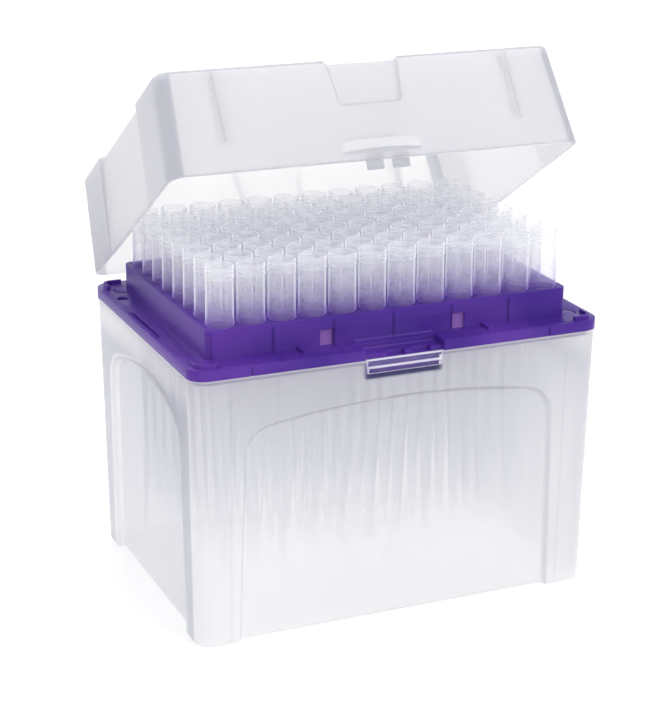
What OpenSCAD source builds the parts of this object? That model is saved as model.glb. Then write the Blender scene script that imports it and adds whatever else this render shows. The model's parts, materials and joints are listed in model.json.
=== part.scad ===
// Box of pipette tips with a hinged lid: a drafted translucent base, a snap-in tip
// tray, a lid on two snap hinges and a full grid of long tips standing in the tray.
// Millimetres. X runs along the long side, the lid opens from -Y and is hinged at +Y,
// and +Z is up. The origin is the centre of the flat underside.

/* [Tip grid] */
// Distance between the centres of neighbouring tips
pitch = 9; // [8.8:0.1:10]

/* [Tips] */
// Length of a tip from its rim to its orifice
tip_len = 86.9; // [80:0.5:88]
// Height of a tip's rim above the deck it rests on
tip_stand = 16.65; // [14:0.25:20]
// Outer diameter of the rim rings
tip_rim_d = 7.9; // [7.6:0.1:8.2]
// Outer diameter of the foot that rests on the deck
tip_foot_d = 8.1; // [7.8:0.1:8.4]
// Outer diameter of the body just below the deck
tip_body_d = 6.9; // [6.6:0.1:7]
// Outer diameter at the orifice
tip_end_d = 1.4; // [1.2:0.1:2]
// Wall of a tip
tip_wall = 0.5; // [0.4:0.05:0.6]
// Height of one rim ring
tip_ring_h = 0.8; // [0.6:0.1:1.2]
// Depth of the straight seat that grips the pipette's cone
tip_seat_h = 8; // [5:0.5:10]

/* [Tray] */
// Height of the deck above the flange
deck_rise = 8.1; // [7:0.1:12]
// Thickness of the deck plate
deck_t = 2; // [1.5:0.1:3]
// Deck beyond the outer hole centres, at each end
deck_margin_x = 5.5; // [4.6:0.05:6]
// Deck beyond the outer hole centres, front and back
deck_margin_y = 5; // [4.6:0.05:6]
// Radius of the deck's upright corners
deck_r = 2.5; // [1.5:0.1:3.5]
// Wall of the deck box and of the locating ring
tray_wall = 1.4; // [1:0.1:1.8]
// Thickness of the ribs under the deck
tray_rib_t = 0.9; // [0.6:0.05:1]
// Radial gap between a tip and its hole
hole_gap = 0.2; // [0.1:0.05:0.3]
// Flange beyond the deck, at each end
flange_x = 7.3; // [7:0.1:9]
// Flange beyond the deck, front and back
flange_y = 7.95; // [7.4:0.05:9]
// Thickness of the flange plate
flange_t = 1.6; // [1.2:0.1:2]
// Radius of the flange's corners
flange_r = 5.2; // [4.5:0.1:7]
// Height of the skirt that stands on the base's rim
skirt_h = 3; // [2.5:0.1:4]
// Thickness of the skirt
skirt_t = 1.2; // [1:0.1:1.5]
// Reach of the locating ring into the base
locate_h = 1.7; // [1.2:0.1:2.5]
// Height of the lid guides at the flange's corners
guide_h = 1.1; // [0.8:0.1:1.6]
// Thickness of the lid guides
guide_t = 0.9; // [0.7:0.1:1.2]
// Length of a lid guide along each side, from the flange's edge
guide_leg = 8; // [6.5:0.25:10]
// Width of the windows low in the deck's long walls
window_w = 3.9; // [3:0.1:5]
// Height of the windows
window_h = 4.7; // [3:0.1:5.5]
// Depth of the windows
window_depth = 0.8; // [0.4:0.1:1]
// Distance of the windows from the middle
window_x = 20.2; // [19.8:0.1:22]
// Distance of the small stops on the flange from the middle
stop_x = 28.2; // [25:0.2:32]
// Length of the spring slits in the end flanges
slit_l = 24.5; // [15:0.5:40]
// Width of the spring slits
slit_w = 0.7; // [0.5:0.1:1]
// Distance of the seams in the skirt from the middle
seam_x = 45.2; // [40:0.2:48]

/* [Base] */
// Height of the base from the table to its rim
base_h = 78.9; // [76:0.1:90]
// Wall of the base
base_wall = 1.2; // [1:0.1:1.6]
// Thickness of the floor
floor_t = 2; // [1.2:0.1:3]
// How much narrower the foot is than the rim, on each side
base_taper = 1; // [0.4:0.1:2]
// How far the rim bead stands proud of the wall
rim_proud = 0.3; // [0.2:0.05:0.6]
// Height of the rim bead
rim_h = 0.7; // [0.5:0.1:1.5]
// Gap all round between the tray's locating ring and the base
tray_gap = 0.3; // [0.2:0.05:0.6]
// Width of a corner leg on the long sides
front_leg = 12.4; // [10:0.1:18]
// Height of the arch on the long sides
front_arch_h = 67.1; // [55:0.1:68]
// Depth of the arch on the long sides
front_arch_depth = 1.9; // [1:0.1:2.5]
// Radius of the crown of the long sides' arch
front_crown_r = 250; // [200:5:400]
// Width of a corner leg on the short sides
side_leg = 11; // [10:0.1:16]
// Height of the arch on the short sides
side_arch_h = 68.9; // [55:0.1:69]
// Depth of the arch on the short sides
side_arch_depth = 2.3; // [1:0.1:2.5]
// Radius of the crown of the short sides' arch
side_crown_r = 70; // [60:1:120]
// Radius of the arches' upper corners
arch_corner_r = 9; // [6:0.5:12]
// How much the arches widen towards the foot, on each side
arch_lean = 1.5; // [0:0.1:2]
// Thickness of the ribs inside the walls
rib_t = 1.2; // [0.8:0.1:1.5]
// How far the ribs stand into the base
rib_depth = 1.8; // [1.4:0.1:2.2]
// Distance of the corner ribs from the middle
corner_rib_x = 51.3; // [50.9:0.1:52]
// Distance of the outer ribs on the long sides from the middle
outer_rib_x = 37.6; // [34:0.1:40]
// Distance of the inner ribs on the long sides from the middle
inner_rib_x = 16.3; // [15:0.1:18]
// Distance of the ribs beside the catch plate's middle
catch_rib_x = 7; // [5:0.5:8]
// Distance of the ribs on the short sides from the middle
side_rib_y = 16; // [12:0.5:20]

/* [Catch] */
// Width of the finger bar and of the catch plate behind it
catch_w = 22.6; // [20.2:0.2:24]
// Height of the finger bar
bar_h = 1.7; // [1.2:0.1:2.5]
// How far the finger bar stands out of the base
bar_proud = 0.8; // [0.5:0.1:1.5]
// Distance from the rim down to the finger bar
bar_drop = 2.2; // [1.5:0.1:3]
// Height of the catch plate below the rim
plate_h = 5.9; // [4:0.1:8]
// Width of the notch in the flange
notch_w = 24; // [24:0.5:30]
// Depth of the notch, measured from the flange's edge
notch_depth = 6.2; // [5.5:0.1:6.6]
// Thickness of the shelf in the notch
shelf_t = 1.2; // [0.8:0.1:1.5]
// Width of one hook on the lid
hook_w = 4.8; // [3:0.1:5]
// Thickness of a hook
hook_t = 1; // [0.8:0.1:1.2]
// How far the hooks hang below the lid's rim
hook_drop = 2.4; // [2.1:0.1:2.8]
// Distance between the middles of the two hooks
hook_pitch = 7.8; // [6.5:0.1:9]
// How far the pair of hooks sits to the right of the middle
hook_shift = 1.6; // [0:0.1:2]
// Gap round a hook in its slot
hook_gap = 0.35; // [0.25:0.05:0.6]

/* [Lid] */
// Height of the lid
lid_h = 30; // [28:0.1:40]
// Wall of the lid
lid_wall = 1.2; // [1:0.1:1.5]
// Thickness of the lid's top
lid_top_t = 1.4; // [1.2:0.1:2]
// Gap between the closed lid and the flange
lid_gap = 0.1; // [0.05:0.05:0.5]
// How far the lid's rim sits inside the flange's edge, at each end
lid_inset_x = 0.4; // [0.3:0.05:1]
// How far the lid's rim sits inside the flange's edge, front and back
lid_inset_y = 0.1; // [0.1:0.01:0.5]
// How much narrower the top is than the rim, at each end
lid_taper_x = 1.9; // [1:0.1:4]
// How much narrower the top is than the rim, front and back
lid_taper_y = 0.8; // [0.5:0.1:4]
// Radius of the lid's upright corners
lid_r = 4.4; // [3.5:0.1:6]
// Soft edge round the lid's top
lid_edge = 1; // [0.8:0.1:2]
// Width of the panels sunk into the lid's ends
end_panel_w = 44; // [30:1:60]
// Depth of the end panels at the top edge
end_panel_depth = 1.8; // [1:0.1:2]
// Depth of the end panels at the rim
end_panel_foot = 0.3; // [0.1:0.1:0.6]
// Width of the finger recess on the lid's long sides, at its foot
recess_w = 19.2; // [14:0.2:26]
// How much wider the finger recess is at the lid's top, on each side
recess_flare = 1.5; // [0:0.1:3]
// Height of the finger recess
recess_h = 13.7; // [8:0.1:18]
// Depth of the finger recess
recess_depth = 1.5; // [1:0.1:2]
// Radius of the finger recess's lower corners
recess_r = 2; // [1:0.1:4]
// Drop of the lid's top between the two finger recesses
top_drop = 0.6; // [0.3:0.1:0.8]
// Distance of the lid's inner ribs from the middle
lid_rib_x = 44.5; // [35:0.1:50]
// Height above the rim at which the lid's inner ribs start
lid_rib_z = 8.4; // [6:0.1:15]
// Width of the thumb lip
lip_w = 24; // [16:0.5:30]
// How far the thumb lip stands out
lip_proud = 2.5; // [1.5:0.1:3]
// Height of the thumb lip
lip_h = 4.1; // [3:0.1:6]
// Height of the thumb lip above the rim
lip_z = 2.3; // [1.5:0.1:4]

/* [Hinge] */
// Angle at which the lid stands open
lid_open = 32.35; // [0:0.05:100]
// Distance of the hinge axis behind the flange
axis_back = 3.55; // [3.4:0.05:4.5]
// Depth of the hinge axis below the flange's top
axis_drop = 1.9; // [1.5:0.1:2.4]
// Distance of each hinge from the middle
hinge_x = 32; // [24:1:44]
// Diameter of the hinge pins
pin_d = 2.8; // [2.4:0.1:3]
// Radial gap between a pin and its clip
pin_gap = 0.08; // [0.05:0.01:0.1]
// Outer diameter of the clips and of the ears' ends
knuckle_d = 5.2; // [4.8:0.1:5.6]
// Width of a clip
clip_w = 7.4; // [5:0.2:12]
// Height of the clips' root on the lid's back wall
clip_root_h = 5; // [4:0.1:7]
// Thickness of an ear
ear_t = 2; // [1.5:0.1:3]
// Gap between a clip and the ears beside it
ear_gap = 0.3; // [0.2:0.05:0.5]
// Width of the clip's mouth
mouth_w = 2.1; // [1.6:0.1:2.2]
// Angle at which a heel on each clip meets the tray and stops the lid
lid_stop = 100; // [95:1:105]

/* [Hidden] */

// The standard grid has this many columns and rows
columns = 12;
rows = 8;

// A small overlap that joins or cuts cleanly
eps = 0.01;
// A cutter reaches this far past what it cuts
past = 5;
// Facets of a corner in a drafted shell
shell_fn = 32;
// Facets of the tips and of the small round features
tip_fn = 48;
fine_fn = 40;

// Plan sizes, as half widths
deck_hx = (columns - 1) * pitch / 2 + deck_margin_x;
deck_hy = (rows - 1) * pitch / 2 + deck_margin_y;
flange_hx = deck_hx + flange_x;
flange_hy = deck_hy + flange_y;
base_hx = flange_hx - rim_proud;
base_hy = flange_hy - rim_proud;
lid_hx = flange_hx - lid_inset_x;
lid_hy = flange_hy - lid_inset_y;
base_r = flange_r - rim_proud;
cavity_hx = base_hx - base_wall;
cavity_hy = base_hy - base_wall;

// Heights above the table
flange_top = base_h + skirt_h;
flange_under = flange_top - flange_t;
deck_top = flange_top + deck_rise;
deck_under = deck_top - deck_t;
shelf_top = base_h + shelf_t;
locate_z = base_h - locate_h;
lid_z = flange_top + lid_gap;
tip_top = deck_top + tip_stand;
tip_end = tip_top - tip_len;

// Inner radius of a tip's seat, and the wall left round its orifice
seat_r = tip_rim_d / 2 - 0.12 - tip_wall - 0.05;
end_wall = 0.35;

// Holes, hinge and catch
hole_r = tip_body_d / 2 + hole_gap;
axis_y = flange_hy + axis_back;
axis_z = flange_top - axis_drop;
bar_z = base_h - bar_drop - bar_h;
hook_y = lid_hy - lid_wall;
hook_root = 2;
strip_w = recess_w + 2 * recess_flare + 0.4;
base_draft = atan(base_taper / base_h);
lid_draft_y = atan(lid_taper_y / lid_h);

// Round rectangle centred on the origin, from half widths
module rounded(hx, hy, r) {
    square([2 * hx, 2 * (hy - r)], center = true);
    square([2 * (hx - r), 2 * hy], center = true);
    for (x = [-1, 1], y = [-1, 1])
        translate([x * (hx - r), y * (hy - r)]) circle(r = r, $fn = shell_fn);
}

// Round-cornered slab standing on height z
module slab(hx, hy, r, z, h) {
    translate([0, 0, z]) linear_extrude(h) rounded(hx, hy, r);
}

// Box between two corners
module block(low, high) {
    translate(low) cube(high - low);
}

// Copies at +x and -x
module both_x(x) {
    for (side = [-1, 1]) translate([side * x, 0, 0]) children();
}

// Arch outline: sides that lean in to half width hw at the shoulders, then a
// corner of radius rc, then a crown of radius rr whose top is at height top
function arch(hw, top, rr, rc, n = 8) =
    let (cx = hw - rc,
         rise = sqrt(pow(rr - rc, 2) - cx * cx),
         cz = top - rr + rise,
         phi = atan2(rise, cx))
    concat(
        [[hw + arch_lean, -past]],
        [for (i = [0:n]) [cx + rc * cos(phi * i / n), cz + rc * sin(phi * i / n)]],
        [for (i = [1:4 * n - 1])
            let (a = phi + (180 - 2 * phi) * i / (4 * n))
            [rr * cos(a), top - rr + rr * sin(a)]],
        [for (i = [n:-1:0]) [-cx - rc * cos(phi * i / n), cz + rc * sin(phi * i / n)]],
        [[-hw - arch_lean, -past]]);

// Height of a crown at distance x from the middle
function crown(x, top, rr) = top - rr + sqrt(rr * rr - x * x);

// Everything outside a panel that is sunk to the given depth into the front wall,
// grown all round by the given amount
module arch_cut(hy, hw, top, rr, depth, grow) {
    translate([0, -(hy - base_taper - depth - grow), 0])
        rotate([90 + base_draft, 0, 0])
            linear_extrude(depth + grow + past)
                polygon(arch(hw + grow, top + grow, rr + grow, arch_corner_r + grow));
}

// The panels on all four sides of the base
module arch_cuts(grow) {
    for (turn = [0, 180]) rotate([0, 0, turn])
        arch_cut(base_hy, base_hx - base_taper - front_leg - arch_lean, front_arch_h,
                 front_crown_r, front_arch_depth, grow);
    for (turn = [90, -90]) rotate([0, 0, turn])
        arch_cut(base_hx, base_hy - base_taper - side_leg - arch_lean, side_arch_h,
                 side_crown_r, side_arch_depth, grow);
}

// Drafted body of the base, inset from its outer faces
module base_block(inset, z_low, z_high) {
    r = base_r - inset;
    hull()
        for (z = [z_low, z_high - eps]) {
            taper = base_taper * (1 - z / base_h);
            slab(base_hx - inset - taper, base_hy - inset - taper, r, z, eps);
        }
}

// Space inside the base
module base_cavity() {
    difference() {
        base_block(base_wall, floor_t, base_h + eps);
        arch_cuts(base_wall);
    }
}

// A rib on the front wall, from z_low to z_high
module wall_rib(hy, x, z_low, z_high) {
    root = hy - base_taper - base_wall / 4;
    face = hy - base_taper - base_wall - rib_depth;
    block([x - rib_t / 2, -root, z_low], [x + rib_t / 2, -face, z_high]);
}

// Ribs that stiffen the walls and carry the tray's locating ring
module base_ribs() {
    rib_top = locate_z - tray_gap;
    plate_low = base_h - plate_h - tray_gap;
    for (turn = [0, 180]) rotate([0, 0, turn]) {
        for (side = [-1, 1]) {
            wall_rib(base_hy, side * corner_rib_x, floor_t - eps, plate_low);
            for (x = [inner_rib_x, outer_rib_x])
                wall_rib(base_hy, side * x,
                         crown(x, front_arch_h, front_crown_r) + base_wall / 2, rib_top);
            wall_rib(base_hy, side * catch_rib_x,
                     crown(catch_rib_x, front_arch_h, front_crown_r) + base_wall / 2,
                     plate_low);
        }
    }
    for (turn = [90, -90], side = [-1, 1]) rotate([0, 0, turn])
        wall_rib(base_hx, side * side_rib_y,
                 crown(side_rib_y, side_arch_h, side_crown_r) + base_wall / 2, rib_top);
}

// Side view of an ear: a round end on the hinge axis and a root on the back wall
module ear_outline() {
    translate([axis_y, axis_z]) circle(d = knuckle_d, $fn = fine_fn);
    polygon([[base_hy - base_wall / 2, base_h - 0.9],
             [base_hy - base_wall / 2, base_h - 8.5],
             [base_hy + 0.3, base_h - 8.5],
             [axis_y + knuckle_d * 0.43, axis_z - knuckle_d * 0.25],
             [axis_y, axis_z],
             [axis_y - knuckle_d * 0.45, axis_z - knuckle_d * 0.2]]);
}

// Two ears with a pin between them, moulded on the base
module hinge_bracket() {
    inner = clip_w / 2 + ear_gap;
    for (x = [-inner - ear_t, inner])
        translate([x, 0, 0])
            rotate([90, 0, 90]) linear_extrude(ear_t) ear_outline();
    translate([-inner - eps, axis_y, axis_z])
        rotate([0, 90, 0]) cylinder(d = pin_d, h = 2 * (inner + eps), $fn = fine_fn);
}

// Finger bar across the front, just below the rim
module finger_bar() {
    block([-catch_w / 2, -(base_hy + bar_proud), bar_z],
          [catch_w / 2, -(base_hy - base_wall / 2), bar_z + bar_h]);
}

// The base, one moulding
module base() {
    color([0.88, 0.89, 0.91]) {
        difference() {
            union() {
                difference() {
                    base_block(0, 0, base_h);
                    arch_cuts(0);
                }
                slab(flange_hx, flange_hy, flange_r, base_h - rim_h, rim_h);
                finger_bar();
            }
            base_cavity();
        }
        base_ribs();
        both_x(hinge_x) hinge_bracket();
    }
}

// Flange plate with its skirt
module flange() {
    difference() {
        slab(flange_hx, flange_hy, flange_r, base_h, skirt_h);
        slab(flange_hx - skirt_t, flange_hy - skirt_t, flange_r - skirt_t,
             base_h - past, skirt_h - flange_t + past);
    }
}

// Deck box and the ring that locates the tray in the base
module deck_box() {
    slab(deck_hx, deck_hy, deck_r, flange_under, deck_top - flange_under);
    difference() {
        slab(cavity_hx - tray_gap, cavity_hy - tray_gap, base_r - base_wall,
             locate_z, flange_under - locate_z + eps);
        slab(cavity_hx - tray_gap - tray_wall, cavity_hy - tray_gap - tray_wall,
             base_r - base_wall, locate_z - past, flange_under - locate_z + 2 * past);
    }
}

// Space under the deck
module deck_hollow() {
    slab(deck_hx - tray_wall, deck_hy - tray_wall, deck_r - tray_wall / 2,
         base_h - past, deck_under - base_h + past);
}

// Ribs between the rows of tips under the deck
module deck_ribs() {
    for (column = [2:2:columns - 2]) {
        x = (column - columns / 2) * pitch;
        block([x - tray_rib_t / 2, -deck_hy + eps, flange_under],
              [x + tray_rib_t / 2, deck_hy - eps, deck_under + eps]);
    }
    for (row = [2:2:rows - 2]) {
        y = (row - rows / 2) * pitch;
        block([-deck_hx + eps, y - tray_rib_t / 2, flange_under],
              [deck_hx - eps, y + tray_rib_t / 2, deck_under + eps]);
    }
}

// Curved guides that centre the lid at the flange's corners
module lid_guides() {
    gap = 0.35;
    hx = lid_hx - lid_wall - gap;
    hy = lid_hy - lid_wall - gap;
    r = lid_r - lid_wall - gap;
    translate([0, 0, flange_top - eps])
        linear_extrude(guide_h + eps)
            intersection() {
                difference() {
                    rounded(hx, hy, r);
                    rounded(hx - guide_t, hy - guide_t, r - guide_t);
                }
                for (x = [-1, 1], y = [-1, 1])
                    translate([x * flange_hx, y * flange_hy])
                        square(2 * guide_leg, center = true);
            }
}

// Small upright stops between the deck and the edge of the flange
module flange_stops() {
    stop_w = 1.6;
    stop_l = 4.6;
    stop_h = 0.9;
    both_x(stop_x)
        block([-stop_w / 2, -(deck_hy + stop_l), flange_top - eps],
              [stop_w / 2, -deck_hy + eps, flange_top + stop_h]);
}

// Room for the lid's hooks, cut out of the front flange
module catch_notch() {
    low_y = -(flange_hy + past);
    block([-notch_w / 2, low_y, shelf_top],
          [notch_w / 2, -(flange_hy - notch_depth), flange_top + past]);
    block([-notch_w / 2, low_y, base_h - past],
          [notch_w / 2, -(flange_hy - skirt_t), flange_top + past]);
}

// Shelf, cheeks, sloping back and hanging plate of the catch
module catch_body() {
    ring_hy = cavity_hy - tray_gap;
    back_y = flange_hy - notch_depth;
    block([-notch_w / 2 - eps, -(flange_hy - skirt_t), base_h],
          [notch_w / 2 + eps, -(deck_hy - tray_wall / 2), shelf_top]);
    for (x = [-notch_w / 2 - skirt_t, notch_w / 2])
        block([x, -(flange_hy - skirt_t / 2), base_h],
              [x + skirt_t, -back_y + eps, flange_under + eps]);
    rotate([90, 0, 90]) translate([0, 0, -notch_w / 2])
        linear_extrude(notch_w)
            polygon([[-deck_hy + eps, flange_top + 0.6],
                     [-back_y - 0.4, shelf_top - eps],
                     [-deck_hy + eps, shelf_top - eps]]);
    block([-catch_w / 2, -ring_hy, base_h - plate_h],
          [catch_w / 2, -(ring_hy - shelf_t), base_h + eps]);
}

// Slots that the lid's hooks drop into
module hook_slots() {
    for (side = [-1, 1])
        translate([hook_shift + side * hook_pitch / 2, 0, 0])
            block([-hook_w / 2 - hook_gap, -(flange_hy + past), base_h - eps],
                  [hook_w / 2 + hook_gap, -(hook_y - hook_t - 2 * hook_gap),
                   shelf_top + past]);
}

// Windows low in the long walls of the deck box
module deck_windows() {
    for (turn = [0, 180], side = [-1, 1]) rotate([0, 0, turn])
        translate([side * window_x, -deck_hy, flange_top])
            block([-window_w / 2, -past, 0], [window_w / 2, window_depth, window_h]);
}

// Slits that make a spring tongue in each end flange
module spring_slits() {
    x_in = flange_hx - 2.4;
    x_out = flange_hx - 0.9;
    for (side = [0, 1]) mirror([side, 0, 0]) {
        block([x_in, -slit_l / 2, flange_under - eps],
              [x_in + slit_w, slit_l / 2, flange_top + eps]);
        for (y = [-slit_l / 2, slit_l / 2 - slit_w])
            block([x_in, y, flange_under - eps], [x_out, y + slit_w, flange_top + eps]);
    }
}

// Seams in the skirt, round marks and curved slits in the flange
module flange_marks() {
    groove_w = 0.5;
    groove_t = 0.3;
    both_x(seam_x)
        block([-groove_w / 2, -(flange_hy + past), base_h - eps],
              [groove_w / 2, -(flange_hy - groove_t), flange_top - groove_w]);
    both_x(flange_hx - 3.6)
        translate([0, 26.2, flange_top - groove_w])
            cylinder(d = 3.4, h = past, $fn = fine_fn);
    for (turn = [0, 180]) rotate([0, 0, turn])
        translate([deck_hx - 0.75, -(deck_hy - 1), flange_top - groove_w])
            difference() {
                cylinder(r = 4.5, h = past, $fn = fine_fn);
                cylinder(r = 3.9, h = past, $fn = fine_fn);
                block([-2 * past, -2 * past, 0], [0.75 + eps, 2 * past, past]);
                block([-2 * past, -2 * past, 0], [2 * past, -1, past]);
            }
}

// The tray, one moulding
module tray() {
    color([0.31, 0.19, 0.59])
        difference() {
            union() {
                difference() {
                    union() {
                        flange();
                        deck_box();
                    }
                    deck_hollow();
                    catch_notch();
                }
                deck_ribs();
                lid_guides();
                flange_stops();
                catch_body();
            }
            hook_slots();
            deck_windows();
            spring_slits();
            flange_marks();
            for (i = [0:columns - 1], j = [0:rows - 1])
                translate([(i - (columns - 1) / 2) * pitch,
                           (j - (rows - 1) / 2) * pitch, deck_under - past])
                    cylinder(r = hole_r, h = deck_t + 2 * past, $fn = tip_fn);
        }
}

// Drafted body of the lid in its closed place, inset from its outer faces
module lid_block(inset, z_low, z_high, edge) {
    hull() {
        for (z = [z_low, z_high - edge - eps])
            slab(lid_hx - inset - lid_taper_x * z / lid_h,
                 lid_hy - inset - lid_taper_y * z / lid_h,
                 lid_r - inset, lid_z + z, eps);
        slab(lid_hx - inset - lid_taper_x - edge * 0.3, lid_hy - inset - lid_taper_y - edge * 0.3,
             lid_r - inset, lid_z + z_high - edge * 0.3 - eps, eps);
        slab(lid_hx - inset - lid_taper_x - edge, lid_hy - inset - lid_taper_y - edge,
             lid_r - inset, lid_z + z_high - eps, eps);
    }
}

// Panels sunk into the lid's ends, deepest at the top edge, grown by the given amount
module end_panels(grow) {
    w = end_panel_w / 2 + grow;
    foot_depth = end_panel_foot + grow;
    top_depth = end_panel_depth + grow;
    for (turn = [0, 180]) rotate([0, 0, turn])
        rotate([90, 0, 0]) translate([0, lid_z, -w])
            linear_extrude(2 * w)
                polygon([[lid_hx - foot_depth, 0],
                         [lid_hx - lid_taper_x - top_depth, lid_h],
                         [lid_hx - lid_taper_x - top_depth, lid_h + past],
                         [lid_hx + past, lid_h + past],
                         [lid_hx + past, -past],
                         [lid_hx - foot_depth, -past]]);
}

// Finger recesses in the lid's long sides, grown by the given amount
module finger_recesses(grow) {
    r = recess_r + grow;
    low = lid_h - recess_h - grow;
    corner_x = recess_w / 2 + grow - r;
    lean = atan(recess_flare / recess_h);
    side_x = corner_x + r * cos(lean);
    side_z = low + r - r * sin(lean);
    rise = recess_h + past;
    for (turn = [0, 180]) rotate([0, 0, turn])
        translate([0, -(lid_hy - recess_depth - grow), lid_z])
            rotate([90 - lid_draft_y, 0, 0])
                linear_extrude(recess_depth + grow + past) {
                    polygon([[-corner_x, low], [corner_x, low], [side_x, side_z],
                             [side_x + rise * tan(lean), side_z + rise],
                             [-side_x - rise * tan(lean), side_z + rise], [-side_x, side_z]]);
                    for (x = [-1, 1])
                        translate([x * corner_x, low + r]) circle(r = r, $fn = fine_fn);
                }
}

// Space inside the lid
module lid_cavity() {
    difference() {
        lid_block(lid_wall, -past, lid_h - lid_top_t, lid_edge - 0.4);
        end_panels(lid_wall);
        finger_recesses(lid_wall);
    }
}

// Inner ribs on the lid's long sides
module lid_ribs() {
    lid_rib_t = 1.1;
    lid_rib_depth = 1.5;
    for (turn = [0, 180], side = [-1, 1]) rotate([0, 0, turn])
        translate([side * lid_rib_x - lid_rib_t / 2, 0, lid_z])
            rotate([90, 0, 90]) linear_extrude(lid_rib_t)
                polygon([for (z = [lid_rib_z, lid_h - lid_top_t / 2])
                             [-(lid_hy - lid_wall / 2 - lid_taper_y * z / lid_h), z],
                         for (z = [lid_h - lid_top_t / 2, lid_rib_z])
                             [-(lid_hy - lid_wall - lid_rib_depth - lid_taper_y * z / lid_h), z]]);
}

// Thumb lip: a slice of a shallow cone that bulges out of the front wall
module thumb_lip() {
    half = lip_w / 2;
    r = (half * half + lip_proud * lip_proud) / (2 * lip_proud);
    wall_y = lid_hy - lid_taper_y * lip_z / lid_h;
    rise = lid_taper_y * lip_h / lid_h;
    intersection() {
        translate([0, r - wall_y - lip_proud, lid_z + lip_z])
            cylinder(r1 = r, r2 = r - lip_proud - rise, h = lip_h, $fn = 180);
        block([-half, -(lid_hy + past), lid_z],
              [half, -(hook_y + lid_wall / 4 - 0.2), lid_z + lid_h]);
    }
}

// Hooks that snap into the tray's slots
module lid_hooks() {
    for (side = [-1, 1])
        translate([hook_shift + side * hook_pitch / 2 - hook_w / 2, 0, lid_z]) {
            block([0, -hook_y - lid_wall / 2, 0], [hook_w, -(hook_y - hook_t), hook_root]);
            block([0, -hook_y, -hook_drop], [hook_w, -(hook_y - hook_t), eps]);
            translate([0, -(hook_y - hook_t), -hook_drop + 0.5])
                rotate([0, 90, 0]) cylinder(d = 0.7, h = hook_w, $fn = fine_fn);
        }
}

// Side view of a clip: a ring on the hinge axis with an arm to the lid's back wall
// and a heel that stands flat against the tray when the lid is fully open
module clip_outline() {
    wall_y = lid_hy - lid_wall / 2;
    low = lid_z + 0.4;
    high = low + clip_root_h;
    heel = axis_back - 0.05;
    difference() {
        union() {
            translate([axis_y, axis_z]) circle(d = knuckle_d, $fn = fine_fn);
            translate([axis_y, axis_z]) rotate(lid_stop)
                translate([-heel, -knuckle_d / 2 + 0.2])
                    square([heel, knuckle_d / 2 - 0.2]);
            polygon([[wall_y, low], [lid_hy + 0.6, low],
                     [axis_y - knuckle_d * 0.49, axis_z + 0.4], [axis_y, axis_z],
                     [axis_y + knuckle_d * 0.36, axis_z + knuckle_d * 0.34],
                     [lid_hy + 0.1, high], [wall_y - 0.4, high]]);
        }
        translate([axis_y, axis_z]) circle(r = pin_d / 2 + pin_gap, $fn = fine_fn);
        translate([axis_y, axis_z - mouth_w / 2]) square([knuckle_d, mouth_w]);
    }
}

// Turns what is modelled closed by the given angle about the hinge axis
module opened(angle) {
    translate([0, axis_y, axis_z])
        rotate([-angle, 0, 0])
            translate([0, -axis_y, -axis_z]) children();
}

// The lid, one moulding
module lid() {
    color([0.93, 0.93, 0.94])
        opened(lid_open) {
            difference() {
                lid_block(0, 0, lid_h, lid_edge);
                end_panels(0);
                finger_recesses(0);
                block([-strip_w / 2, -flange_hy, lid_z + lid_h - top_drop],
                      [strip_w / 2, flange_hy, lid_z + lid_h + past]);
                lid_cavity();
            }
            lid_ribs();
            thumb_lip();
            lid_hooks();
            both_x(hinge_x)
                translate([-clip_w / 2, 0, 0])
                    rotate([90, 0, 90]) linear_extrude(clip_w) clip_outline();
        }
}

// Half section of a tip, outside from the rim down, then inside back up
module tip_section() {
    rim_r = tip_rim_d / 2;
    groove_r = rim_r - 0.12;
    foot_r = tip_foot_d / 2;
    body_r = tip_body_d / 2;
    end_r = tip_end_d / 2;
    knee_z = deck_top - 32;
    knee_r = body_r - 1;
    lead_in = 0.25;
    seat_top = tip_top - 0.6;
    polygon([
        [seat_r + lead_in, tip_top], [rim_r, tip_top],
        [rim_r, tip_top - tip_ring_h], [groove_r, tip_top - tip_ring_h],
        [groove_r, tip_top - 1.6 * tip_ring_h], [rim_r, tip_top - 1.6 * tip_ring_h],
        [rim_r, tip_top - 2.4 * tip_ring_h], [groove_r, tip_top - 2.4 * tip_ring_h],
        [foot_r - 0.1, deck_top + 1.2], [foot_r, deck_top + 1], [foot_r, deck_top],
        [body_r, deck_top], [knee_r, knee_z], [end_r, tip_end],
        [end_r - end_wall, tip_end], [knee_r - tip_wall, knee_z],
        [body_r - tip_wall, deck_top - 1], [seat_r, seat_top - tip_seat_h],
        [seat_r, seat_top]]);
}

// One tip standing on the deck
module tip() {
    rotate_extrude($fn = tip_fn) tip_section();
}

// One column of tips, numbered from the left
module tips_column(number) {
    color([0.9, 0.92, 0.96, 0.6])
        for (j = [0:rows - 1])
            translate([(number - 1 - (columns - 1) / 2) * pitch,
                       (j - (rows - 1) / 2) * pitch, 0])
                tip();
}

base();
tray();
lid();
tips_column(1);  // tips_column_01
tips_column(2);  // tips_column_02
tips_column(3);  // tips_column_03
tips_column(4);  // tips_column_04
tips_column(5);  // tips_column_05
tips_column(6);  // tips_column_06
tips_column(7);  // tips_column_07
tips_column(8);  // tips_column_08
tips_column(9);  // tips_column_09
tips_column(10);  // tips_column_10
tips_column(11);  // tips_column_11
tips_column(12);  // tips_column_12
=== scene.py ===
"""A box of pipette tips: frosted base and lid, violet tray, clear tips.

The shells are drawn here in millimetres, in the part's own frame, and scaled to metres.
X runs to the right, +Y to the back with the hinges, +Z up, with the origin under the base.
"""
import json
import math

import bmesh
import bpy
from mathutils import Matrix, Vector


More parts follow.
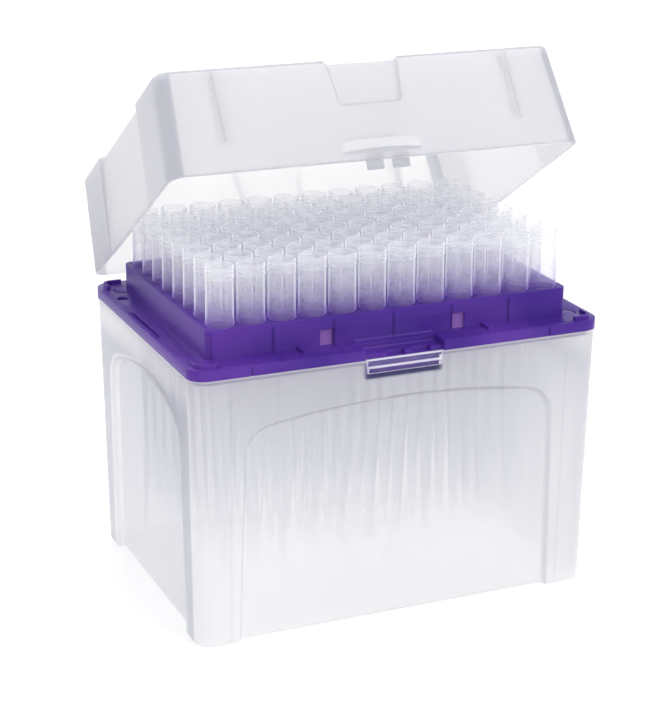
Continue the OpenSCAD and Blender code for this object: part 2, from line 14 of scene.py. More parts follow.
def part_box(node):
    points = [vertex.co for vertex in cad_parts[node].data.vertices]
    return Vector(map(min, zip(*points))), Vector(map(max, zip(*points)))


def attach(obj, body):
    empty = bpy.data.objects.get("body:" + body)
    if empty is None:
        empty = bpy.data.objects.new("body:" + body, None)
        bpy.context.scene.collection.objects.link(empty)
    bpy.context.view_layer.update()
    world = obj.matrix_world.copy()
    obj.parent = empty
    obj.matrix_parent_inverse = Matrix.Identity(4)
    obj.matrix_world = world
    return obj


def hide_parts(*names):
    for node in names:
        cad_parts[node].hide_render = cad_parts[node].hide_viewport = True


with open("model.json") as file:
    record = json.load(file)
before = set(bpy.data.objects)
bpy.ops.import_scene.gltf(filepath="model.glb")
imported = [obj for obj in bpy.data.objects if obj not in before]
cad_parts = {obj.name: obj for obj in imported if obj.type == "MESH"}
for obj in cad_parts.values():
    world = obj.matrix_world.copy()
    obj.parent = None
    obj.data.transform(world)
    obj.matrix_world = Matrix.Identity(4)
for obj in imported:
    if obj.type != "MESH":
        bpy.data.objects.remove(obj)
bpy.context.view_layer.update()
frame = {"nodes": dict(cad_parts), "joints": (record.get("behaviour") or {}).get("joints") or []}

MM = 0.001


def box_mm(name):
    """Lowest and highest corner of a CAD node, in millimetres."""
    low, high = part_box(name)
    return low / MM, high / MM


# ---------------------------------------------------------------- sizes from the frame
_, TRAY_HIGH = box_mm("tray")
FLANGE_HX = TRAY_HIGH.x
FLANGE_HY = TRAY_HIGH.y
HINGE = frame["joints"][0]
AXIS_Y = HINGE["pos_m"][1] / MM
AXIS_Z = HINGE["pos_m"][2] / MM
LID_OPEN = -HINGE["range_deg"][0]
AXIS_DROP = 1.9
SKIRT_H = 3.0
FLANGE_TOP = AXIS_Z + AXIS_DROP
RIM_Z = FLANGE_TOP - SKIRT_H
COLUMNS = sorted(name for name in frame["nodes"] if name.startswith("tips_column"))
TIP_LOW, TIP_HIGH = box_mm(COLUMNS[0])
TIP_STAND = 16.65
DECK = TIP_HIGH.z - TIP_STAND
PITCH = 9.0
ROWS = 8

# Deck of the tray, and the windows low in its long walls
DECK_HY = FLANGE_HY - 7.95
DECK_WALL_H = 7.2
WINDOW_X = 20.2
WINDOW_HALF = 2.0
WINDOW_H = 4.8

# Base
BASE_WALL = 1.2
FLOOR = 2.0
TAPER = 1.0
RIM_PROUD = 0.3
BASE_HX = FLANGE_HX - RIM_PROUD
BASE_HY = FLANGE_HY - RIM_PROUD
BASE_R = 4.9
STEP = 1.0
BAR_HALF = 11.3
BAR_LOW, BAR_HIGH = RIM_Z - 3.9, RIM_Z - 2.2
BAR_PROUD = 0.8
RIB_DEPTH = 1.8
RIB_HALF = 0.6
CORNER_RIB = 51.3
RIB_TOP = RIM_Z - 2.0
PLATE_LOW = RIM_Z - 6.2

# Lid, in its closed place
LID_Z = FLANGE_TOP + 0.1
LID_H = 30.0
LID_HX = FLANGE_HX - 0.4
LID_HY = FLANGE_HY - 0.1
LID_TAPER_X = 1.9
LID_TAPER_Y = 0.8
LID_R = 4.4
LID_WALL = 1.2
LID_TOP = 1.4
PANEL_HALF = 22.0
RECESS_HALF = 9.6
RECESS_H = 13.7
RECESS_LOW = LID_H - RECESS_H
RECESS_FLARE = 1.5
RECESS_DEPTH = 1.5
STRIP_HALF = RECESS_HALF + RECESS_FLARE + 0.2
STRIP_DROP = 0.6
LID_RIB = 44.5
LID_RIB_HALF = 0.55
LID_RIB_DEPTH = 1.5
LID_RIB_LOW = 8.4
LIP_HALF = 12.0
LIP_LOW = 2.3
LIP_H = 4.1
LIP_PROUD = 2.5
CATCH_X = 1.6
HOOK_APART = 3.9
HOOK_HALF = 2.4
HOOK_T = 1.0
HOOK_REACH = 2.4
SMALL_BEVEL = 0.12

# Hinge
HINGE_X = 32.0
KNUCKLE_R = 2.6
PIN_R = 1.4
BORE_R = 1.48
CLIP_HALF = 3.7
EAR_T = 2.0
EAR_GAP = 0.3
EAR_BEVEL = 0.2
MOUTH_HALF = 1.05
# Corners of a clip's heel, seen from the hinge's axis
HEEL = ((0.608, -3.447), (2.971, -3.030), (2.622, -MOUTH_HALF))


# ---------------------------------------------------------------- camera
CAMERA_LENS = 97.3
CAMERA_TURN = math.radians(-23.31)
CAMERA_TILT = math.radians(18.84)
CAMERA_ROLL = math.radians(0.32)
CAMERA_DISTANCE = 574.84 * MM
CAMERA_TARGET = Vector((-4.95, 0.0, 64.63)) * MM


def make_camera():
    """The camera at the photograph's viewing angle."""
    data = bpy.data.cameras.new("camera")
    data.lens = CAMERA_LENS
    data.clip_start = 0.01
    data.clip_end = 20.0
    camera = bpy.data.objects.new("camera", data)
    bpy.context.scene.collection.objects.link(camera)
    back = Vector((math.sin(CAMERA_TURN) * math.cos(CAMERA_TILT),
                   -math.cos(CAMERA_TURN) * math.cos(CAMERA_TILT),
                   math.sin(CAMERA_TILT)))
    right = Vector((0, 0, 1)).cross(back).normalized()
    up = back.cross(right)
    right, up = (right * math.cos(CAMERA_ROLL) + up * math.sin(CAMERA_ROLL),
                 up * math.cos(CAMERA_ROLL) - right * math.sin(CAMERA_ROLL))
    turn = Matrix((right, up, back)).transposed()
    place = Matrix.Translation(CAMERA_TARGET + back * CAMERA_DISTANCE)
    camera.matrix_world = place @ turn.to_4x4()
    bpy.context.scene.camera = camera


make_camera()


# ---------------------------------------------------------------- node helpers
def new_material(name):
    """A material with an empty node tree."""
    material = bpy.data.materials.new(name)
    material.use_nodes = True
    tree = material.node_tree
    tree.nodes.clear()
    return material, tree


def add(tree, kind, links=None, **values):
    """A node with its settings and socket values, fed by the sockets in links."""
    made = tree.nodes.new(kind)
    for key, value in values.items():
        if hasattr(made, key):
            setattr(made, key, value)
        else:
            made.inputs[key.replace("_", " ")].default_value = value
    for key, socket in (links or {}).items():
        tree.links.new(socket, made.inputs[key])
    return made


def math_node(tree, operation, first, second=0.0):
    """The result of a sum on two values, each a number or a socket."""
    made = tree.nodes.new("ShaderNodeMath")
    made.operation = operation
    for index, value in enumerate((first, second)):
        if isinstance(value, (int, float)):
            made.inputs[index].default_value = value
        else:
            tree.links.new(value, made.inputs[index])
    return made.outputs[0]


def ramp(tree, value, low, high, out_low=0.0, out_high=1.0):
    """A value taken smoothly from one range to another."""
    made = tree.nodes.new("ShaderNodeMapRange")
    made.interpolation_type = "SMOOTHSTEP"
    made.inputs["From Min"].default_value = low
    made.inputs["From Max"].default_value = high
    made.inputs["To Min"].default_value = out_low
    made.inputs["To Max"].default_value = out_high
    tree.links.new(value, made.inputs["Value"])
    return made.outputs[0]


def band(tree, value, low, high, soft):
    """1 between two values and 0 outside them, with soft ends."""
    rise = ramp(tree, value, low - soft, low + soft)
    fall = ramp(tree, value, high - soft, high + soft, 1.0, 0.0)
    return math_node(tree, "MULTIPLY", rise, fall)


def mix_color(tree, factor, first, second):
    """A colour between two others, each a triple or a socket."""
    made = tree.nodes.new("ShaderNodeMix")
    made.data_type = "RGBA"
    for index, value in ((0, factor), (6, first), (7, second)):
        if hasattr(value, "is_linked"):
            tree.links.new(value, made.inputs[index])
        elif index == 0:
            made.inputs[index].default_value = value
        else:
            made.inputs[index].default_value = (*value, 1)
    return made.outputs[2]


def output(tree, shader):
    """Ends a material's tree with a shader."""
    made = tree.nodes.new("ShaderNodeOutputMaterial")
    tree.links.new(shader, made.inputs["Surface"])


def place_xyz(tree):
    """The sockets of a point's place in the part's frame."""
    spot = tree.nodes.new("ShaderNodeTexCoord").outputs["Object"]
    apart = tree.nodes.new("ShaderNodeSeparateXYZ")
    tree.links.new(spot, apart.inputs[0])
    return spot, apart.outputs


def noise(tree, spot, scale, detail=0.0):
    """A cloudy value about 0.5, in waves of about 1 / scale metres."""
    made = tree.nodes.new("ShaderNodeTexNoise")
    made.inputs["Scale"].default_value = scale
    made.inputs["Detail"].default_value = detail
    tree.links.new(spot, made.inputs["Vector"])
    return made.outputs["Fac"]


# ---------------------------------------------------------------- materials
PP_IOR = 1.45
PP_WHITE = (0.998, 0.998, 1.0)
# Colour of the painted shade that the vertex value line gives the frosted plastic
PAINTED_SHADE_COLOUR = (0.22, 0.24, 0.36)
CLOUD_SCALE = 38.0
FINE_CLOUD_SCALE = 300.0
GRAIN_SCALE = 2600.0

BAR_TINT = (0.93, 0.93, 0.97, 1)
BAR_MILK_AND_HIGHLIGHT = (0.85, 0.83, 0.95, 1)

# Tints and milk of the tips above the deck
TIP_CLEAR = (0.999, 0.999, 1.0)
TIP_EDGE = (0.94, 0.95, 0.98)
LINING_EDGE = (0.92, 0.93, 0.96)
TIP_MILK = (0.98, 0.985, 1.0)
# Painted violet light from the tray near the deck, and painted violet shade at the foot and in
# the deck's hole
NEAR_DECK_TRAY_LIGHT = (0.78, 0.74, 1.0)
FOOT_TRAY_SHADE = (0.44, 0.30, 0.78)
HOLE_TRAY_SHADE = (0.45, 0.27, 0.85)

# Tints and milk of the cones below it, at the narrow half and at the wide half: painted shade
# darkens the cones, most at the narrow half
CONE_EDGE_SHADE = ((0.86, 0.87, 0.91), (0.96, 0.965, 0.98))
CONE_LINING_SHADE = ((0.84, 0.85, 0.89), (0.96, 0.965, 0.98))
CONE_MILK_AND_SHADE = ((0.86, 0.87, 0.91), (0.96, 0.965, 0.975))
CONE_NARROW, CONE_WIDE = 38 * MM, 66 * MM

VIOLET_DEEP = (0.058, 0.020, 0.26)
VIOLET_BRIGHT = (0.120, 0.040, 0.36)
VIOLET_RIB_SHADE = (0.012, 0.004, 0.09)
VIOLET_PANE_LIGHT = (0.30, 0.15, 0.50)
VIOLET_GLOW = (0.20, 0.08, 0.55, 1)


def mix_shaders(tree, share, first, second):
    """A mix of two shaders, where share is the second's and a number or a socket."""
    made = tree.nodes.new("ShaderNodeMixShader")
    if isinstance(share, float):
        made.inputs[0].default_value = share
    else:
        tree.links.new(share, made.inputs[0])
    tree.links.new(first.outputs[0], made.inputs[1])
    tree.links.new(second.outputs[0], made.inputs[2])
    return made


def frosted(name, clearness, roughness, haze, glimpse=0.0):
    """Milky polypropylene: light passes and scatters, and the skin has a soft gloss.

    glimpse is the share of light that passes without scattering. The vertex value line
    paints shade on the plastic where it is above 0, and a painted opaque white highlight
    where it is below.
    """
    material, tree = new_material(name)
    spot, _ = place_xyz(tree)
    cloud = noise(tree, spot, CLOUD_SCALE, 1.0)
    grain = noise(tree, spot, GRAIN_SCALE)
    clear = mix_color(tree, ramp(tree, cloud, 0.3, 0.7), [c * 0.996 for c in PP_WHITE], PP_WHITE)
    # Painted shade where line is above 0; below 0 the plastic turns an opaque white, a painted
    # highlight
    line = add(tree, "ShaderNodeAttribute", attribute_name="line").outputs["Fac"]
    tint = mix_color(tree, line, clear, PAINTED_SHADE_COLOUR)
    rough = ramp(tree, cloud, 0.25, 0.75, roughness * 0.92, roughness * 1.08)
    bump = add(tree, "ShaderNodeBump", {"Height": grain}, Strength=0.05, Distance=0.02 * MM)
    passing = ramp(tree, line, -1.0, 0.0, 0.0, clearness)
    skin = add(tree, "ShaderNodeBsdfPrincipled",
               {"Base Color": tint, "Roughness": rough, "Normal": bump.outputs[0],
                "Transmission Weight": passing}, IOR=PP_IOR)
    glow = add(tree, "ShaderNodeBsdfTranslucent", {"Color": tint})
    body = mix_shaders(tree, haze, skin, glow)
    if glimpse:
        through = add(tree, "ShaderNodeBsdfTransparent", {"Color": tint})
        body = mix_shaders(tree, glimpse, body, through)
    output(tree, body.outputs[0])
    return material


def inside_skin(name):
    """The base's inner skin, which lets light through with a faint tint."""
    material, tree = new_material(name)
    spot, _ = place_xyz(tree)
    cloud = ramp(tree, noise(tree, spot, CLOUD_SCALE), 0.3, 0.7)
    tint = mix_color(tree, cloud, (0.985, 0.985, 0.99), PP_WHITE)
    through = add(tree, "ShaderNodeBsdfTransparent", {"Color": tint})
    output(tree, through.outputs[0])
    return material


def clear_plastic(name):
    """The clear finger bar: painted white highlights along its edges, and the tray shows through
    between them.
    """
    material, tree = new_material(name)
    spot, (x, y, z) = place_xyz(tree)
    # Painted white highlight lines along the bar's end edges, its top and bottom and the rim
    # above it
    edge = 0.2
    white = band(tree, math_node(tree, "ABSOLUTE", x),
                 (BAR_HALF - edge) * MM, (BAR_HALF + edge) * MM, 0.08 * MM)
    for low, high in ((BAR_LOW - 0.1, BAR_LOW + edge), (BAR_HIGH - edge, BAR_HIGH + edge),
                      (RIM_Z - 0.35, RIM_Z + 0.1)):
        white = math_node(tree, "MAXIMUM", white, band(tree, z, low * MM, high * MM, 0.06 * MM))
    front = ramp(tree, y, (0.3 - BASE_HY) * MM, (0.5 - BASE_HY) * MM, 0.6, 0.0)
    cloud = ramp(tree, noise(tree, spot, FINE_CLOUD_SCALE), 0.3, 0.7, 0.03, 0.05)
    share = math_node(tree, "ADD", cloud, math_node(tree, "MULTIPLY", white, front))
    through = add(tree, "ShaderNodeBsdfTransparent", Color=BAR_TINT)
    milk = add(tree, "ShaderNodeBsdfDiffuse", Color=BAR_MILK_AND_HIGHLIGHT)
    gloss = add(tree, "ShaderNodeBsdfGlossy", Roughness=0.1)
    skin = mix_shaders(tree, 0.025, mix_shaders(tree, share, through, milk), gloss)
    output(tree, skin.outputs[0])
    return material


def above_deck(tree, z):
    """1 above the deck and 0 below it."""
    return ramp(tree, z, (DECK - 4) * MM, DECK * MM)


def tip_tint(tree, facing, z, cone, shade):
    """Clear face on, with a shade at the outline: a darker painted shade on a cone below the
    deck, and another above.
    """
    cone_tint = mix_color(tree, ramp(tree, z, CONE_NARROW, CONE_WIDE), *cone)
    return mix_color(tree, ramp(tree, facing, 0.35, 0.9), TIP_CLEAR,
                     mix_color(tree, above_deck(tree, z), cone_tint, shade))


def tip_lining(name):
    """A tip's inner skin, which only tints the light, more so where it is seen from the side."""
    material, tree = new_material(name)
    facing = add(tree, "ShaderNodeLayerWeight", Blend=0.5).outputs["Facing"]
    _, xyz = place_xyz(tree)
    tint = tip_tint(tree, facing, xyz[2], CONE_LINING_SHADE, LINING_EDGE)
    through = add(tree, "ShaderNodeBsdfTransparent", {"Color": tint})
    output(tree, through.outputs[0])
    return material


def tip_plastic(name, haze, edge):
    """Clear thin plastic: a straight view through a faint haze that thickens towards the edges.

    haze is the milk seen face on and edge the milk at the outline. Near the deck the milk
    is painted with the tray's violet light, and at the tip's foot and in the deck's hole with
    a darker violet painted shade.
    """
    material, tree = new_material(name)
    facing = add(tree, "ShaderNodeLayerWeight", Blend=0.5).outputs["Facing"]
    spot, (_, _, z) = place_xyz(tree)
    above = above_deck(tree, z)
    through = add(tree, "ShaderNodeBsdfTransparent",
                  {"Color": tip_tint(tree, facing, z, CONE_EDGE_SHADE, TIP_EDGE)})
    # Where the painted violet light and shade of the tray go on the tip
    near = math_node(tree, "MULTIPLY", ramp(tree, z, (DECK - 5) * MM, (DECK - 1) * MM),
                     ramp(tree, z, DECK * MM, (DECK + 10) * MM, 1.0, 0.0))
    hole = band(tree, z, (DECK - 5) * MM, DECK * MM, 0.3 * MM)
    foot = math_node(tree, "MULTIPLY", above,
                     ramp(tree, z, DECK * MM, (DECK + 3.5) * MM, 1.0, 0.0))
    # The cones' milk, with painted shade that is darkest at their narrow half
    milky = mix_color(tree, ramp(tree, z, CONE_NARROW, CONE_WIDE), *CONE_MILK_AND_SHADE)
    for share, shade in ((above, TIP_MILK), (near, NEAR_DECK_TRAY_LIGHT), (foot, FOOT_TRAY_SHADE),
                         (hole, HOLE_TRAY_SHADE)):
        milky = mix_color(tree, share, milky, shade)
    front = add(tree, "ShaderNodeBsdfDiffuse", {"Color": milky})
    behind = add(tree, "ShaderNodeBsdfTranslucent", {"Color": milky})
    milk = mix_shaders(tree, 0.5, front, behind)
    cloud = ramp(tree, noise(tree, spot, FINE_CLOUD_SCALE), 0.3, 0.7, haze * 0.85, haze * 1.15)
    share = math_node(tree, "ADD", cloud,
                      math_node(tree, "MULTIPLY", ramp(tree, facing, 0.4, 0.75), edge))
    # Below the deck the milk's share grows towards the cones' narrow half, which deepens their
    # painted shade
    thick = math_node(tree, "MAXIMUM", ramp(tree, above, 0.0, 1.0, 0.5, 1.0),
                      ramp(tree, z, CONE_NARROW, CONE_WIDE, 0.6, 0.5))
    share = math_node(tree, "MULTIPLY", share, thick)
    share = math_node(tree, "MAXIMUM", share, math_node(tree, "MULTIPLY", hole, 0.5))
    gloss = add(tree, "ShaderNodeBsdfGlossy", Roughness=0.08)
    mirror = math_node(tree, "ADD", 0.02,
                       math_node(tree, "MULTIPLY", math_node(tree, "POWER", facing, 6.0), 0.5))
    skin = mix_shaders(tree, mirror, mix_shaders(tree, share, through, milk), gloss)
    output(tree, skin.outputs[0])
    return material


def violet_plastic(name):
    """Violet polypropylene, with painted shade where ribs meet the deck's long walls and painted
    light where the walls are thin, at the windows.
    """
    material, tree = new_material(name)
    spot, (x, y, z) = place_xyz(tree)
    side_x = math_node(tree, "ABSOLUTE", x)
    side_y = math_node(tree, "ABSOLUTE", y)
    cloud = noise(tree, spot, 30.0, 2.0)
    tint = mix_color(tree, ramp(tree, cloud, 0.3, 0.7), VIOLET_DEEP, VIOLET_BRIGHT)
    # Painted shade where the ribs meet the deck's long walls
    rib = math_node(tree, "PINGPONG", x, PITCH * MM)
    rib = ramp(tree, rib, 0.25 * MM, 0.6 * MM, 0.55, 0.0)
    wall = band(tree, z, FLANGE_TOP * MM, (FLANGE_TOP + DECK_WALL_H) * MM, 0.3 * MM)
    wall = math_node(tree, "MULTIPLY", wall,
                     ramp(tree, side_y, (DECK_HY - 0.6) * MM, (DECK_HY - 0.2) * MM))
    tint = mix_color(tree, math_node(tree, "MULTIPLY", rib, wall), tint, VIOLET_RIB_SHADE)
    # Painted light at the thin window panes, where light comes through
    pane = math_node(tree, "MULTIPLY",
                     band(tree, side_x, (WINDOW_X - WINDOW_HALF) * MM,
                          (WINDOW_X + WINDOW_HALF) * MM, 0.1 * MM),
                     band(tree, side_y, (DECK_HY - 1.3) * MM, (DECK_HY - 0.4) * MM, 0.1 * MM))
    pane = math_node(tree, "MULTIPLY", pane,
                     band(tree, z, FLANGE_TOP * MM, (FLANGE_TOP + WINDOW_H) * MM, 0.1 * MM))
    tint = mix_color(tree, pane, tint, VIOLET_PANE_LIGHT)
    skin = add(tree, "ShaderNodeBsdfPrincipled", {"Base Color": tint}, Roughness=0.3, IOR=PP_IOR,
               Specular_IOR_Level=0.2)
    glow = add(tree, "ShaderNodeBsdfTranslucent", Color=VIOLET_GLOW)
    output(tree, mix_shaders(tree, 0.2, skin, glow).outputs[0])
    return material


BASE_PP = frosted("base_frosted", clearness=0.68, roughness=0.31, haze=0.54, glimpse=0.3)
BASE_INSIDE = inside_skin("base_inside")
CLEAR_PP = clear_plastic("base_clear")
LIP_PP = frosted("lid_lip", clearness=0.3, roughness=0.31, haze=0.5)
LID_PP = frosted("lid_frosted", clearness=0.82, roughness=0.31, haze=0.52)
TIP_SKINS = [tip_plastic("tip_outside", haze=0.25, edge=0.5), tip_lining("tip_inside"),
             tip_plastic("tip_rim", haze=0.36, edge=0.5)]
TRAY_PP = violet_plastic("tray_violet")


# ---------------------------------------------------------------- mesh helpers
# Edges sharper than this stay crisp
SHARP = math.radians(35)
# Distance of the two grid lines at a crisp edge from the edge
PAIR = 0.06
FINE_PAIR = 0.05


def make_piece(name, mesh_data, materials, body, replaced):
    """An object from a finished bmesh, riding on its body and standing for CAD nodes."""
    for edge in mesh_data.edges:
        edge.smooth = len(edge.link_faces) == 2 and edge.calc_face_angle(0.0) < SHARP
    for face in mesh_data.faces:
        face.smooth = True
    mesh = bpy.data.meshes.new(name)
    mesh_data.to_mesh(mesh)
    mesh_data.free()
    for material in materials:
        mesh.materials.append(material)
    piece = bpy.data.objects.new(name, mesh)
    bpy.context.scene.collection.objects.link(piece)
    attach(piece, body)
    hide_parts(*replaced)
    return piece


def smooth(value):
    """Smooth step from 0 to 1."""
    t = min(max(value, 0.0), 1.0)
    return t * t * (3 - 2 * t)


def spread(low, high, size):
    """Even steps from low to high, about size apart, with both ends."""
    count = max(1, round((high - low) / size))
    return [low + (high - low) * i / count for i in range(count + 1)]


def grid_lines(steps, edges, pair=PAIR):
    """Sorted places of grid lines, with a close pair of lines at each crisp edge."""
    pairs = [e + side * pair for e in edges for side in (-1, 1)]
    free = [s for s in steps if all(abs(s - e) > 4 * pair for e in edges)]
    return sorted(set(round(value, 4) for value in free + pairs))


class Shell:
    """A drafted box with round corners, drawn as rings of points over shared stations.

    Sides 0 to 3 face front, right, back and left. A place along a side runs
    counter-clockwise seen from above.
    """

    def __init__(self, half, radius, long_lines, short_lines, arc_steps=8):
        self.half = half
        self.radius = radius
        self.stations = []
        for side in range(4):
            self.stations += [(side, s, None) for s in (short_lines if side % 2 else long_lines)]
            self.stations += [(side, None, i / arc_steps * math.pi / 2)
                              for i in range(arc_steps + 1)]

    def ring(self, z, inset, sink=None, drop=None):
        """The points of one ring, with walls sunk inwards by sink(side, s, z)."""
        hx, hy = self.half(z)
        points = []
        for side, s, turn in self.stations:
            a = side * math.pi / 2
            normal = Vector((math.sin(a), -math.cos(a), 0))
            along = Vector((math.cos(a), math.sin(a), 0))
            out, across = (hx, hy) if side % 2 else (hy, hx)
            low = z
            if turn is None:
                depth = sink(side, s, z) if sink else 0.0
                point = normal * (out - inset - depth) + along * s
                if drop:
                    low -= drop(side, s)
            else:
                r = self.radius
                centre = normal * (out - r) + along * (across - r)
                reach = max(r - inset, 0.2)
                point = centre + (normal * math.cos(turn) + along * math.sin(turn)) * reach
            points.append(Vector((point.x, point.y, low)))
        return points


def skin_rings(data, rings):
    """Joins rings of vertices with quads and returns the rings of vertices."""
    rows = [[data.verts.new(p) for p in ring] for ring in rings]
    for low, high in zip(rows, rows[1:]):
        for i in range(len(low)):
            j = (i + 1) % len(low)
            data.faces.new((low[i], low[j], high[j], high[i]))
    return rows


def peak(distance, width):
    """1 on a line, fading to 0 over about the given distance from it."""
    return math.exp(-(distance / width) ** 2)


def mark_lines(data, half, radius, strength):
    """Stores the painted shade of each vertex, from strength(side, s, z, inset); below 0 it is a
    painted highlight.
    """
    layer = data.verts.layers.float.new("line")
    for vert in data.verts:
        x, y, z = vert.co
        hx, hy = half(z)
        if abs(x) < hx - radius + 0.01 and abs(y) > hy - radius - 0.01:
            side, s, inset = (0 if y < 0 else 2), (x if y < 0 else -x), hy - abs(y)
        elif abs(y) < hy - radius + 0.01 and abs(x) > hx - radius - 0.01:
            side, s, inset = (1 if x > 0 else 3), (y if x > 0 else -y), hx - abs(x)
        else:
            side, s, inset = None, None, 0.0
        vert[layer] = strength(side, s, z, inset)


def prism(data, outline, low_x, high_x, bevel=EAR_BEVEL):
    """A bevelled solid between two x places, from a side view given as (y, z) points."""
    part = bmesh.new()
    near = [part.verts.new((low_x, y, z)) for y, z in outline]
    far = [part.verts.new((high_x, y, z)) for y, z in outline]
    part.faces.new(near)
    part.faces.new(list(reversed(far)))
    for i in range(len(outline)):
        j = (i + 1) % len(outline)
        part.faces.new((near[j], near[i], far[i], far[j]))
    bmesh.ops.recalc_face_normals(part, faces=part.faces)
    if bevel:
        ends = [e for e in part.edges if abs(e.verts[0].co.x - e.verts[1].co.x) < 1e-6]
        bmesh.ops.bevel(part, geom=ends, offset=bevel, segments=2, affect="EDGES", profile=0.5,
                        clamp_overlap=True)
    mesh = bpy.data.meshes.new("part")
    part.to_mesh(mesh)
    part.free()
    data.from_mesh(mesh)
    bpy.data.meshes.remove(mesh)


def arc(centre, radius, start, end, count):
    """Points on an arc, in degrees from start to end."""
    return [(centre[0] + radius * math.cos(math.radians(start + (end - start) * i / count)),
             centre[1] + radius * math.sin(math.radians(start + (end - start) * i / count)))
            for i in range(count + 1)]


# ---------------------------------------------------------------- base
def arch_distance(s, z, half, top, crown, corner=9.0):
    """How far a point on a wall lies inside the arch, negative outside it."""
    s = abs(s)
    cx = half - corner
    rise = math.sqrt((crown - corner) ** 2 - cx * cx)
    cz = top - crown + rise
    if z <= cz:
        return half + ARCH_LEAN * (cz - z) / cz - s
    angle = math.atan2(z - cz, s - cx)
    if s > cx and angle < math.atan2(rise, cx):
        return corner - math.hypot(s - cx, z - cz)
    return crown - math.hypot(s, z - (top - crown))


ARCH_LEAN = 1.5
FRONT_LEG = 12.4
SIDE_LEG = 11.0
FRONT_ARCH = dict(half=BASE_HX - TAPER - FRONT_LEG - ARCH_LEAN, top=67.1, crown=250.0)
SIDE_ARCH = dict(half=BASE_HY - TAPER - SIDE_LEG - ARCH_LEAN, top=68.9, crown=70.0)
FRONT_ARCH_DEPTH = 1.9
SIDE_ARCH_DEPTH = 2.3
PLATE_RIB = 7.0
LONG_RIBS = (PLATE_RIB, 16.3, 37.6)
SIDE_RIB = 16.0
RIB_FOOT = 60.0
BEAD = 0.7
# Lowest point of the painted shade where the plate behind the bar shows through
PLATE_FOOT = 72.8
BAR_FACES, INSIDE_FACES = 1, 2

# How dark the painted shade lines and painted shades on the outside are, and the width over which
# a line fades; the rim bead's painted highlight is below 0
BEAD_PAINTED_HIGHLIGHT = -1.0
ARCH_LINE, ARCH_LINE_W = 0.28, 0.45
FRONT_LEG_SHADE = 0.02
SIDE_LEG_SHADE = 0.38
SIDE_PANEL_SHADE = 0.2
CORNER_RIB_LINE = 0.12
RIB_LINE = 0.08
RIB_LINE_W = 0.5

# Spacing of the grid lines: wide on plain stretches, and fine where an arch's edge crosses
WIDE_X, WIDE_Y, WIDE_Z = 2.4, 2.0, 5.2
FINE = 0.42
FINE_INSIDE = 0.45
ARCH_SPAN_X = (36.4, 53)
ARCH_SPAN_Y = (18.6, 33.2)
ARCH_SPAN_Z = (52.6, 70.0)


def arch_sink(side, s, z, grow=0.0):
    """How far a point on a wall is sunk by the arch."""
    shape, depth = (SIDE_ARCH, SIDE_ARCH_DEPTH) if side % 2 else (FRONT_ARCH, FRONT_ARCH_DEPTH)
    return depth * smooth((arch_distance(s, z, **shape) + grow) / STEP + 0.15)


def base_outer(side, s, z):
    """How far the outside is sunk, which is less than nothing on the finger bar."""
    if side == 0 and BAR_LOW < z < BAR_HIGH and abs(s) < BAR_HALF:
        return -BAR_PROUD
    return arch_sink(side, s, z)


def base_inner(side, s, z):
    """How far the inside stands in, at an arch or at a rib."""
    depth = arch_sink(side, s, z, BASE_WALL)
    if side % 2:
        ribs = ((SIDE_RIB, RIB_TOP),)
    else:
        ribs = [(place, PLATE_LOW if place == PLATE_RIB else RIB_TOP) for place in LONG_RIBS]
        ribs.append((CORNER_RIB, PLATE_LOW))
    for place, top in ribs:
        above = 0.0 if place == CORNER_RIB else RIB_FOOT
        if abs(abs(s) - place) < RIB_HALF and above < z < top:
            depth = max(depth, RIB_DEPTH)
    return depth


def base_line(side, s, z, inset):
    """Painted shade along the arches' outlines, on the legs and side panels, at the ribs and
    where the plate behind the bar shows through; a painted highlight on the rim bead.
    """
    # The rim bead is drawn an opaque white, a painted highlight
    if z > RIM_Z - BEAD - 0.2 and inset < 0.1:
        return BEAD_PAINTED_HIGHLIGHT
    if side is None or abs(inset - base_outer(side, s, z)) > 0.3:
        return 0.0
    shape = SIDE_ARCH if side % 2 else FRONT_ARCH
    inside = arch_distance(s, z, **shape)
    leg = smooth(-inside / 2) * smooth((RIM_Z - 4 - z) / 8)
    dark = ARCH_LINE * peak(inside - 0.2, ARCH_LINE_W)
    if side % 2:
        return max(dark, SIDE_LEG_SHADE * leg, SIDE_PANEL_SHADE * smooth(inside))
    dark = max(dark, FRONT_LEG_SHADE * leg)
    if z < PLATE_LOW:
        dark = max(dark, CORNER_RIB_LINE * peak(abs(s) - CORNER_RIB, RIB_LINE_W))
    for place in LONG_RIBS:
        if inside < 0 and z < RIB_TOP:
            dark = max(dark, RIB_LINE * peak(abs(s) - place, RIB_LINE_W))
    # Painted shade where the plate behind the bar shows through the wall
    if side == 0 and z < BAR_LOW:
        soft = 0.8
        plate = smooth((z - PLATE_FOOT) / soft) * smooth((BAR_HALF + 0.6 - abs(s)) / soft)
        dark = max(dark, plate)
    return dark


def both_sides(values):
    """The values and their mirror images."""
    return [sign * value for value in values for sign in (-1, 1)]


def base_half(z):
    """Half the base's length and width at a height."""
    taper = TAPER * (1 - z / RIM_Z)
    return BASE_HX - taper, BASE_HY - taper


